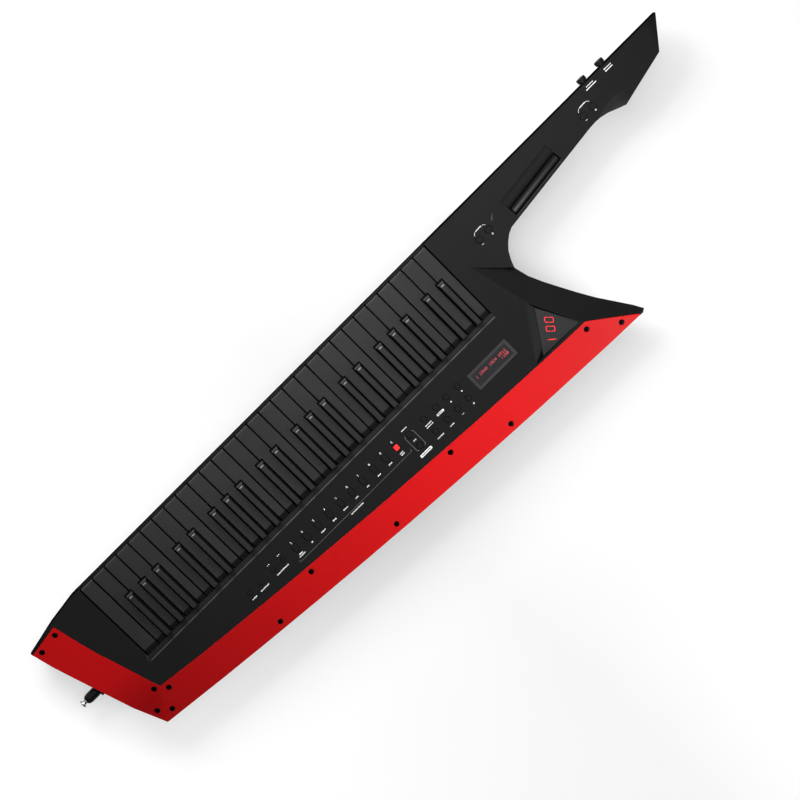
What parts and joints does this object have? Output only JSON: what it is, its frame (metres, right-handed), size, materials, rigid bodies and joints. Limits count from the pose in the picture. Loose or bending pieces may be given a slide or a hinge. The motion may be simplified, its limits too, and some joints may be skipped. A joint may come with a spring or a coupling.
{
  "type": "keytar",
  "caption": "Strap-on keyboard with a long dark body, hinged piano keys, red bolted edge plate, pointed lower horn and a slim neck with a bar, buttons and edge knobs.",
  "frame": {"origin": "under the middle of the whole outline, on the flat back that the instrument lies on", "axes": "+X along the instrument from the tail to the neck's tip, +Y towards the front ends of the keys and the long straight edge, +Z out of the playing side"},
  "size_m": [1.2622, 0.302, 0.087],
  "materials": {
    "case_black": "fine satin moulded plastic",
    "back_black": "matte grained moulded plastic",
    "blade_red": "semi-gloss red",
    "key_natural": "satin charcoal",
    "key_sharp": "satin dark grey",
    "button_rubber": "matte silicone",
    "control_black": "satin black",
    "frame_grey": "unpainted glass-filled plastic",
    "peg_black": "black collar with a bright metal button"
  },
  "bodies": {
    "root": {"lower_case": "back_black", "upper_case": "case_black", "edge_blade": "blade_red", "keybed_frame": "frame_grey", "strap_peg": "peg_black"},
    "modulation_bar": {"modulation_bar": "control_black"},
    "edge_knob_1": {"edge_knob_1": "control_black"},
    "edge_knob_2": {"edge_knob_2": "control_black"},
    "panel_button_mat": {"panel_button_mat": "button_rubber"},
    "shift_button_pair": {"shift_button_pair": "button_rubber"},
    "octave_button_pair": {"octave_button_pair": "button_rubber"},
    "key_c6": {"key_c6": "key_natural"},
    "key_b5": {"key_b5": "key_natural"},
    "key_a5": {"key_a5": "key_natural"},
    "key_g5": {"key_g5": "key_natural"},
    "key_f5": {"key_f5": "key_natural"},
    "key_e5": {"key_e5": "key_natural"},
    "key_d5": {"key_d5": "key_natural"},
    "key_c5": {"key_c5": "key_natural"},
    "key_b4": {"key_b4": "key_natural"},
    "key_a4": {"key_a4": "key_natural"},
    "key_g4": {"key_g4": "key_natural"},
    "key_f4": {"key_f4": "key_natural"},
    "key_e4": {"key_e4": "key_natural"},
    "key_d4": {"key_d4": "key_natural"},
    "key_c4": {"key_c4": "key_natural"},
    "key_b3": {"key_b3": "key_natural"},
    "key_a3": {"key_a3": "key_natural"},
    "key_g3": {"key_g3": "key_natural"},
    "key_f3": {"key_f3": "key_natural"},
    "key_e3": {"key_e3": "key_natural"},
    "key_d3": {"key_d3": "key_natural"},
    "key_c3": {"key_c3": "key_natural"},
    "key_b2": {"key_b2": "key_natural"},
    "key_a2": {"key_a2": "key_natural"},
    "key_g2": {"key_g2": "key_natural"},
    "key_f2": {"key_f2": "key_natural"},
    "key_e2": {"key_e2": "key_natural"},
    "key_d2": {"key_d2": "key_natural"},
    "key_c2": {"key_c2": "key_natural"},
    "key_a_sharp5": {"key_a_sharp5": "key_sharp"},
    "key_g_sharp5": {"key_g_sharp5": "key_sharp"},
    "key_f_sharp5": {"key_f_sharp5": "key_sharp"},
    "key_d_sharp5": {"key_d_sharp5": "key_sharp"},
    "key_c_sharp5": {"key_c_sharp5": "key_sharp"},
    "key_a_sharp4": {"key_a_sharp4": "key_sharp"},
    "key_g_sharp4": {"key_g_sharp4": "key_sharp"},
    "key_f_sharp4": {"key_f_sharp4": "key_sharp"},
    "key_d_sharp4": {"key_d_sharp4": "key_sharp"},
    "key_c_sharp4": {"key_c_sharp4": "key_sharp"},
    "key_a_sharp3": {"key_a_sharp3": "key_sharp"},
    "key_g_sharp3": {"key_g_sharp3": "key_sharp"},
    "key_f_sharp3": {"key_f_sharp3": "key_sharp"},
    "key_d_sharp3": {"key_d_sharp3": "key_sharp"},
    "key_c_sharp3": {"key_c_sharp3": "key_sharp"},
    "key_a_sharp2": {"key_a_sharp2": "key_sharp"},
    "key_g_sharp2": {"key_g_sharp2": "key_sharp"},
    "key_f_sharp2": {"key_f_sharp2": "key_sharp"},
    "key_d_sharp2": {"key_d_sharp2": "key_sharp"},
    "key_c_sharp2": {"key_c_sharp2": "key_sharp"}
  },
  "joints": [
    {"name": "modulation_bar_press", "type": "hinge", "parent": "root", "child": "modulation_bar", "pos_m": [0.34166, 0.09547, 0.07], "axis": [0.9929, 0.1192, 0], "range_deg": [0, 8], "stiffness_Nm_per_rad": 0.4, "springref_deg": -2.86},
    {"name": "edge_knob_1_turn", "type": "hinge", "parent": "root", "child": "edge_knob_1", "pos_m": [0.4914, 0.1455, 0.066], "axis": [0, 1, 0], "range_deg": [-150, 150]},
    {"name": "edge_knob_2_turn", "type": "hinge", "parent": "root", "child": "edge_knob_2", "pos_m": [0.5265, 0.1455, 0.066], "axis": [0, 1, 0], "range_deg": [-150, 150]},
    {"name": "panel_button_mat_press", "type": "slide", "parent": "root", "child": "panel_button_mat", "axis": [0, 0, -1], "range_m": [0, 0.001], "stiffness_N_per_m": 400, "springref_m": -0.003},
    {"name": "shift_button_pair_press", "type": "slide", "parent": "root", "child": "shift_button_pair", "axis": [0, 0, -1], "range_m": [0, 0.001], "stiffness_N_per_m": 400, "springref_m": -0.001},
    {"name": "octave_button_pair_press", "type": "slide", "parent": "root", "child": "octave_button_pair", "axis": [0, 0, -1], "range_m": [0, 0.001], "stiffness_N_per_m": 400, "springref_m": -0.001},
    {"name": "key_c6_press", "type": "hinge", "parent": "root", "child": "key_c6", "pos_m": [-0.49915, -0.022, 0.062], "axis": [-1, 0, 0], "range_deg": [0, 3.3], "stiffness_Nm_per_rad": 1, "springref_deg": -5.73},
    {"name": "key_b5_press", "type": "hinge", "parent": "root", "child": "key_b5", "pos_m": [-0.47565, -0.022, 0.062], "axis": [-1, 0, 0], "range_deg": [0, 3.3], "stiffness_Nm_per_rad": 1, "springref_deg": -5.73},
    {"name": "key_a5_press", "type": "hinge", "parent": "root", "child": "key_a5", "pos_m": [-0.45215, -0.022, 0.062], "axis": [-1, 0, 0], "range_deg": [0, 3.3], "stiffness_Nm_per_rad": 1, "springref_deg": -5.73},
    {"name": "key_g5_press", "type": "hinge", "parent": "root", "child": "key_g5", "pos_m": [-0.42865, -0.022, 0.062], "axis": [-1, 0, 0], "range_deg": [0, 3.3], "stiffness_Nm_per_rad": 1, "springref_deg": -5.73},
    {"name": "key_f5_press", "type": "hinge", "parent": "root", "child": "key_f5", "pos_m": [-0.40515, -0.022, 0.062], "axis": [-1, 0, 0], "range_deg": [0, 3.3], "stiffness_Nm_per_rad": 1, "springref_deg": -5.73},
    {"name": "key_e5_press", "type": "hinge", "parent": "root", "child": "key_e5", "pos_m": [-0.38165, -0.022, 0.062], "axis": [-1, 0, 0], "range_deg": [0, 3.3], "stiffness_Nm_per_rad": 1, "springref_deg": -5.73},
    {"name": "key_d5_press", "type": "hinge", "parent": "root", "child": "key_d5", "pos_m": [-0.35815, -0.022, 0.062], "axis": [-1, 0, 0], "range_deg": [0, 3.3], "stiffness_Nm_per_rad": 1, "springref_deg": -5.73},
    {"name": "key_c5_press", "type": "hinge", "parent": "root", "child": "key_c5", "pos_m": [-0.33465, -0.022, 0.062], "axis": [-1, 0, 0], "range_deg": [0, 3.3], "stiffness_Nm_per_rad": 1, "springref_deg": -5.73},
    {"name": "key_b4_press", "type": "hinge", "parent": "root", "child": "key_b4", "pos_m": [-0.31115, -0.022, 0.062], "axis": [-1, 0, 0], "range_deg": [0, 3.3], "stiffness_Nm_per_rad": 1, "springref_deg": -5.73},
    {"name": "key_a4_press", "type": "hinge", "parent": "root", "child": "key_a4", "pos_m": [-0.28765, -0.022, 0.062], "axis": [-1, 0, 0], "range_deg": [0, 3.3], "stiffness_Nm_per_rad": 1, "springref_deg": -5.73},
    {"name": "key_g4_press", "type": "hinge", "parent": "root", "child": "key_g4", "pos_m": [-0.26415, -0.022, 0.062], "axis": [-1, 0, 0], "range_deg": [0, 3.3], "stiffness_Nm_per_rad": 1, "springref_deg": -5.73},
    {"name": "key_f4_press", "type": "hinge", "parent": "root", "child": "key_f4", "pos_m": [-0.24065, -0.022, 0.062], "axis": [-1, 0, 0], "range_deg": [0, 3.3], "stiffness_Nm_per_rad": 1, "springref_deg": -5.73},
    {"name": "key_e4_press", "type": "hinge", "parent": "root", "child": "key_e4", "pos_m": [-0.21715, -0.022, 0.062], "axis": [-1, 0, 0], "range_deg": [0, 3.3], "stiffness_Nm_per_rad": 1, "springref_deg": -5.73},
    {"name": "key_d4_press", "type": "hinge", "parent": "root", "child": "key_d4", "pos_m": [-0.19365, -0.022, 0.062], "axis": [-1, 0, 0], "range_deg": [0, 3.3], "stiffness_Nm_per_rad": 1, "springref_deg": -5.73},
    {"name": "key_c4_press", "type": "hinge", "parent": "root", "child": "key_c4", "pos_m": [-0.17015, -0.022, 0.062], "axis": [-1, 0, 0], "range_deg": [0, 3.3], "stiffness_Nm_per_rad": 1, "springref_deg": -5.73},
    {"name": "key_b3_press", "type": "hinge", "parent": "root", "child": "key_b3", "pos_m": [-0.14665, -0.022, 0.062], "axis": [-1, 0, 0], "range_deg": [0, 3.3], "stiffness_Nm_per_rad": 1, "springref_deg": -5.73},
    {"name": "key_a3_press", "type": "hinge", "parent": "root", "child": "key_a3", "pos_m": [-0.12315, -0.022, 0.062], "axis": [-1, 0, 0], "range_deg": [0, 3.3], "stiffness_Nm_per_rad": 1, "springref_deg": -5.73},
    {"name": "key_g3_press", "type": "hinge", "parent": "root", "child": "key_g3", "pos_m": [-0.09965, -0.022, 0.062], "axis": [-1, 0, 0], "range_deg": [0, 3.3], "stiffness_Nm_per_rad": 1, "springref_deg": -5.73},
    {"name": "key_f3_press", "type": "hinge", "parent": "root", "child": "key_f3", "pos_m": [-0.07615, -0.022, 0.062], "axis": [-1, 0, 0], "range_deg": [0, 3.3], "stiffness_Nm_per_rad": 1, "springref_deg": -5.73},
    {"name": "key_e3_press", "type": "hinge", "parent": "root", "child": "key_e3", "pos_m": [-0.05265, -0.022, 0.062], "axis": [-1, 0, 0], "range_deg": [0, 3.3], "stiffness_Nm_per_rad": 1, "springref_deg": -5.73},
    {"name": "key_d3_press", "type": "hinge", "parent": "root", "child": "key_d3", "pos_m": [-0.02915, -0.022, 0.062], "axis": [-1, 0, 0], "range_deg": [0, 3.3], "stiffness_Nm_per_rad": 1, "springref_deg": -5.73},
    {"name": "key_c3_press", "type": "hinge", "parent": "root", "child": "key_c3", "pos_m": [-0.00565, -0.022, 0.062], "axis": [-1, 0, 0], "range_deg": [0, 3.3], "stiffness_Nm_per_rad": 1, "springref_deg": -5.73},
    {"name": "key_b2_press", "type": "hinge", "parent": "root", "child": "key_b2", "pos_m": [0.01785, -0.022, 0.062], "axis": [-1, 0, 0], "range_deg": [0, 3.3], "stiffness_Nm_per_rad": 1, "springref_deg": -5.73},
    {"name": "key_a2_press", "type": "hinge", "parent": "root", "child": "key_a2", "pos_m": [0.04135, -0.022, 0.062], "axis": [-1, 0, 0], "range_deg": [0, 3.3], "stiffness_Nm_per_rad": 1, "springref_deg": -5.73},
    {"name": "key_g2_press", "type": "hinge", "parent": "root", "child": "key_g2", "pos_m": [0.06485, -0.022, 0.062], "axis": [-1, 0, 0], "range_deg": [0, 3.3], "stiffness_Nm_per_rad": 1, "springref_deg": -5.73},
    {"name": "key_f2_press", "type": "hinge", "parent": "root", "child": "key_f2", "pos_m": [0.08835, -0.022, 0.062], "axis": [-1, 0, 0], "range_deg": [0, 3.3], "stiffness_Nm_per_rad": 1, "springref_deg": -5.73},
    {"name": "key_e2_press", "type": "hinge", "parent": "root", "child": "key_e2", "pos_m": [0.11185, -0.022, 0.062], "axis": [-1, 0, 0], "range_deg": [0, 3.3], "stiffness_Nm_per_rad": 1, "springref_deg": -5.73},
    {"name": "key_d2_press", "type": "hinge", "parent": "root", "child": "key_d2", "pos_m": [0.13535, -0.022, 0.062], "axis": [-1, 0, 0], "range_deg": [0, 3.3], "stiffness_Nm_per_rad": 1, "springref_deg": -5.73},
    {"name": "key_c2_press", "type": "hinge", "parent": "root", "child": "key_c2", "pos_m": [0.15885, -0.022, 0.062], "axis": [-1, 0, 0], "range_deg": [0, 3.3], "stiffness_Nm_per_rad": 1, "springref_deg": -5.73},
    {"name": "key_a_sharp5_press", "type": "hinge", "parent": "root", "child": "key_a_sharp5", "pos_m": [-0.46695, -0.022, 0.062], "axis": [-1, 0, 0], "range_deg": [0, 3.3], "stiffness_Nm_per_rad": 1, "springref_deg": -5.73},
    {"name": "key_g_sharp5_press", "type": "hinge", "parent": "root", "child": "key_g_sharp5", "pos_m": [-0.4404, -0.022, 0.062], "axis": [-1, 0, 0], "range_deg": [0, 3.3], "stiffness_Nm_per_rad": 1, "springref_deg": -5.73},
    {"name": "key_f_sharp5_press", "type": "hinge", "parent": "root", "child": "key_f_sharp5", "pos_m": [-0.41385, -0.022, 0.062], "axis": [-1, 0, 0], "range_deg": [0, 3.3], "stiffness_Nm_per_rad": 1, "springref_deg": -5.73},
    {"name": "key_d_sharp5_press", "type": "hinge", "parent": "root", "child": "key_d_sharp5", "pos_m": [-0.3725, -0.022, 0.062], "axis": [-1, 0, 0], "range_deg": [0, 3.3], "stiffness_Nm_per_rad": 1, "springref_deg": -5.73},
    {"name": "key_c_sharp5_press", "type": "hinge", "parent": "root", "child": "key_c_sharp5", "pos_m": [-0.34405, -0.022, 0.062], "axis": [-1, 0, 0], "range_deg": [0, 3.3], "stiffness_Nm_per_rad": 1, "springref_deg": -5.73},
    {"name": "key_a_sharp4_press", "type": "hinge", "parent": "root", "child": "key_a_sharp4", "pos_m": [-0.30245, -0.022, 0.062], "axis": [-1, 0, 0], "range_deg": [0, 3.3], "stiffness_Nm_per_rad": 1, "springref_deg": -5.73},
    {"name": "key_g_sharp4_press", "type": "hinge", "parent": "root", "child": "key_g_sharp4", "pos_m": [-0.2759, -0.022, 0.062], "axis": [-1, 0, 0], "range_deg": [0, 3.3], "stiffness_Nm_per_rad": 1, "springref_deg": -5.73},
    {"name": "key_f_sharp4_press", "type": "hinge", "parent": "root", "child": "key_f_sharp4", "pos_m": [-0.24935, -0.022, 0.062], "axis": [-1, 0, 0], "range_deg": [0, 3.3], "stiffness_Nm_per_rad": 1, "springref_deg": -5.73},
    {"name": "key_d_sharp4_press", "type": "hinge", "parent": "root", "child": "key_d_sharp4", "pos_m": [-0.208, -0.022, 0.062], "axis": [-1, 0, 0], "range_deg": [0, 3.3], "stiffness_Nm_per_rad": 1, "springref_deg": -5.73},
    {"name": "key_c_sharp4_press", "type": "hinge", "parent": "root", "child": "key_c_sharp4", "pos_m": [-0.17955, -0.022, 0.062], "axis": [-1, 0, 0], "range_deg": [0, 3.3], "stiffness_Nm_per_rad": 1, "springref_deg": -5.73},
    {"name": "key_a_sharp3_press", "type": "hinge", "parent": "root", "child": "key_a_sharp3", "pos_m": [-0.13795, -0.022, 0.062], "axis": [-1, 0, 0], "range_deg": [0, 3.3], "stiffness_Nm_per_rad": 1, "springref_deg": -5.73},
    {"name": "key_g_sharp3_press", "type": "hinge", "parent": "root", "child": "key_g_sharp3", "pos_m": [-0.1114, -0.022, 0.062], "axis": [-1, 0, 0], "range_deg": [0, 3.3], "stiffness_Nm_per_rad": 1, "springref_deg": -5.73},
    {"name": "key_f_sharp3_press", "type": "hinge", "parent": "root", "child": "key_f_sharp3", "pos_m": [-0.08485, -0.022, 0.062], "axis": [-1, 0, 0], "range_deg": [0, 3.3], "stiffness_Nm_per_rad": 1, "springref_deg": -5.73},
    {"name": "key_d_sharp3_press", "type": "hinge", "parent": "root", "child": "key_d_sharp3", "pos_m": [-0.0435, -0.022, 0.062], "axis": [-1, 0, 0], "range_deg": [0, 3.3], "stiffness_Nm_per_rad": 1, "springref_deg": -5.73},
    {"name": "key_c_sharp3_press", "type": "hinge", "parent": "root", "child": "key_c_sharp3", "pos_m": [-0.01505, -0.022, 0.062], "axis": [-1, 0, 0], "range_deg": [0, 3.3], "stiffness_Nm_per_rad": 1, "springref_deg": -5.73},
    {"name": "key_a_sharp2_press", "type": "hinge", "parent": "root", "child": "key_a_sharp2", "pos_m": [0.02655, -0.022, 0.062], "axis": [-1, 0, 0], "range_deg": [0, 3.3], "stiffness_Nm_per_rad": 1, "springref_deg": -5.73},
    {"name": "key_g_sharp2_press", "type": "hinge", "parent": "root", "child": "key_g_sharp2", "pos_m": [0.0531, -0.022, 0.062], "axis": [-1, 0, 0], "range_deg": [0, 3.3], "stiffness_Nm_per_rad": 1, "springref_deg": -5.73},
    {"name": "key_f_sharp2_press", "type": "hinge", "parent": "root", "child": "key_f_sharp2", "pos_m": [0.07965, -0.022, 0.062], "axis": [-1, 0, 0], "range_deg": [0, 3.3], "stiffness_Nm_per_rad": 1, "springref_deg": -5.73},
    {"name": "key_d_sharp2_press", "type": "hinge", "parent": "root", "child": "key_d_sharp2", "pos_m": [0.121, -0.022, 0.062], "axis": [-1, 0, 0], "range_deg": [0, 3.3], "stiffness_Nm_per_rad": 1, "springref_deg": -5.73},
    {"name": "key_c_sharp2_press", "type": "hinge", "parent": "root", "child": "key_c_sharp2", "pos_m": [0.14945, -0.022, 0.062], "axis": [-1, 0, 0], "range_deg": [0, 3.3], "stiffness_Nm_per_rad": 1, "springref_deg": -5.73}
  ]
}
